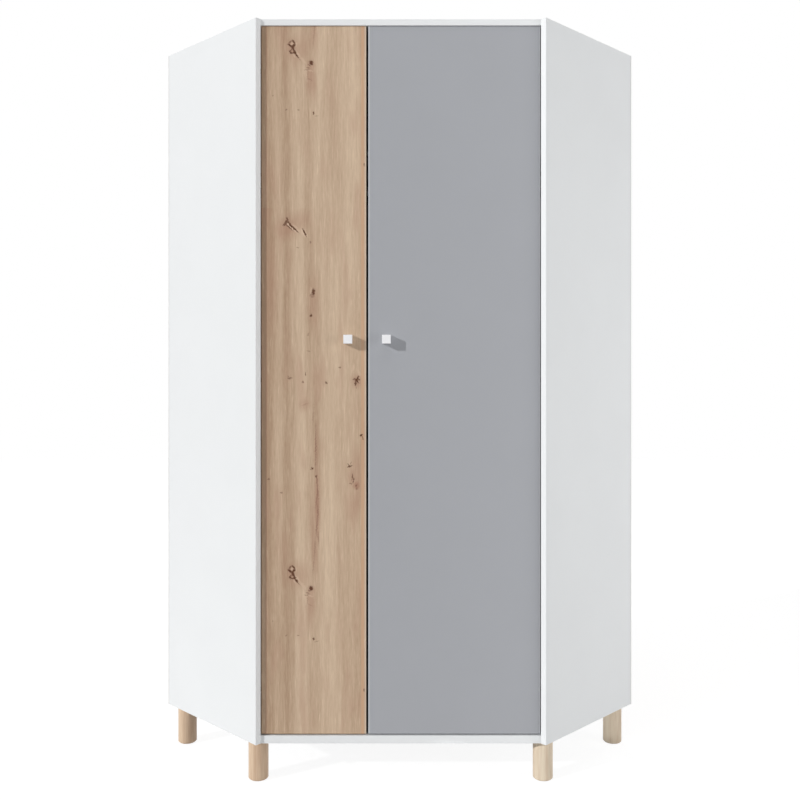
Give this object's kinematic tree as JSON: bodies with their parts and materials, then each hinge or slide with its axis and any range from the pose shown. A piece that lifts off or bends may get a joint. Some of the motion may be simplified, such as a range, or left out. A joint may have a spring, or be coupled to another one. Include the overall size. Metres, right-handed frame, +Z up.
{
  "type": "corner wardrobe",
  "caption": "Five-sided corner wardrobe on round wooden legs, with a narrow wood door and a wide plain door across the corner, square knobs, a hat shelf and a clothes rail.",
  "frame": {"origin": "on the floor, under the middle of the bounding box", "axes": "+X to the right for someone who faces the doors, +Y from the doors towards the room's corner, +Z up"},
  "size_m": [1.3436, 0.977, 1.988],
  "materials": {
    "white_board": "satin white melamine on chipboard",
    "white_sheet": "white lacquered fibreboard sheet",
    "knotty_oak": "matt knotty oak decor with vertical grain",
    "grey_board": "satin light grey melamine",
    "beech": "clear lacquered turned beech",
    "post_wood": "planed pine batten",
    "hinge_steel": "nickel-plated pressed steel",
    "rail_chrome": "chrome-plated steel tube",
    "knob_white": "satin white",
    "glide_nylon": "matt grey nylon"
  },
  "bodies": {
    "carcass": {"side_panel_left": "white_board", "side_panel_right": "white_board", "top_panel": "white_board", "bottom_panel": "white_board", "hat_shelf": "white_board", "back_panel_left": "white_sheet", "back_panel_right": "white_sheet", "back_corner_post": "post_wood", "clothes_rail": "rail_chrome", "rail_bracket_left": "hinge_steel", "rail_bracket_right": "hinge_steel", "leg_front_left": "beech", "leg_front_right": "beech", "leg_rear_left": "beech", "leg_rear_right": "beech", "leg_corner": "beech", "leg_bolt_front_left": "hinge_steel", "leg_bolt_front_right": "hinge_steel", "leg_bolt_rear_left": "hinge_steel", "leg_bolt_rear_right": "hinge_steel", "leg_bolt_corner": "hinge_steel", "leg_glide_front_left": "glide_nylon", "leg_glide_front_right": "glide_nylon", "leg_glide_rear_left": "glide_nylon", "leg_glide_rear_right": "glide_nylon", "leg_glide_corner": "glide_nylon", "hinge_arm_left_top": "hinge_steel", "hinge_arm_left_middle": "hinge_steel", "hinge_arm_left_bottom": "hinge_steel", "hinge_arm_right_top": "hinge_steel", "hinge_arm_right_middle": "hinge_steel", "hinge_arm_right_bottom": "hinge_steel", "hinge_plate_left_top": "hinge_steel", "hinge_plate_left_middle": "hinge_steel", "hinge_plate_left_bottom": "hinge_steel", "hinge_plate_right_top": "hinge_steel", "hinge_plate_right_middle": "hinge_steel", "hinge_plate_right_bottom": "hinge_steel"},
    "left_door": {"door_left": "knotty_oak", "knob_left": "knob_white", "knob_screw_left": "hinge_steel", "hinge_cup_left_top": "hinge_steel", "hinge_cup_left_middle": "hinge_steel", "hinge_cup_left_bottom": "hinge_steel", "hinge_pin_left_top": "hinge_steel", "hinge_pin_left_middle": "hinge_steel", "hinge_pin_left_bottom": "hinge_steel"},
    "right_door": {"door_right": "grey_board", "knob_right": "knob_white", "knob_screw_right": "hinge_steel", "hinge_cup_right_top": "hinge_steel", "hinge_cup_right_middle": "hinge_steel", "hinge_cup_right_bottom": "hinge_steel", "hinge_pin_right_top": "hinge_steel", "hinge_pin_right_middle": "hinge_steel", "hinge_pin_right_bottom": "hinge_steel"}
  },
  "joints": [
    {"name": "left_door_hinge", "type": "hinge", "parent": "carcass", "child": "left_door", "pos_m": [-0.35145, -0.45596, 1.05], "axis": [0, 0, -1], "range_deg": [0, 100]},
    {"name": "right_door_hinge", "type": "hinge", "parent": "carcass", "child": "right_door", "pos_m": [0.35145, -0.45596, 1.05], "axis": [0, 0, 1], "range_deg": [0, 100]}
  ]
}
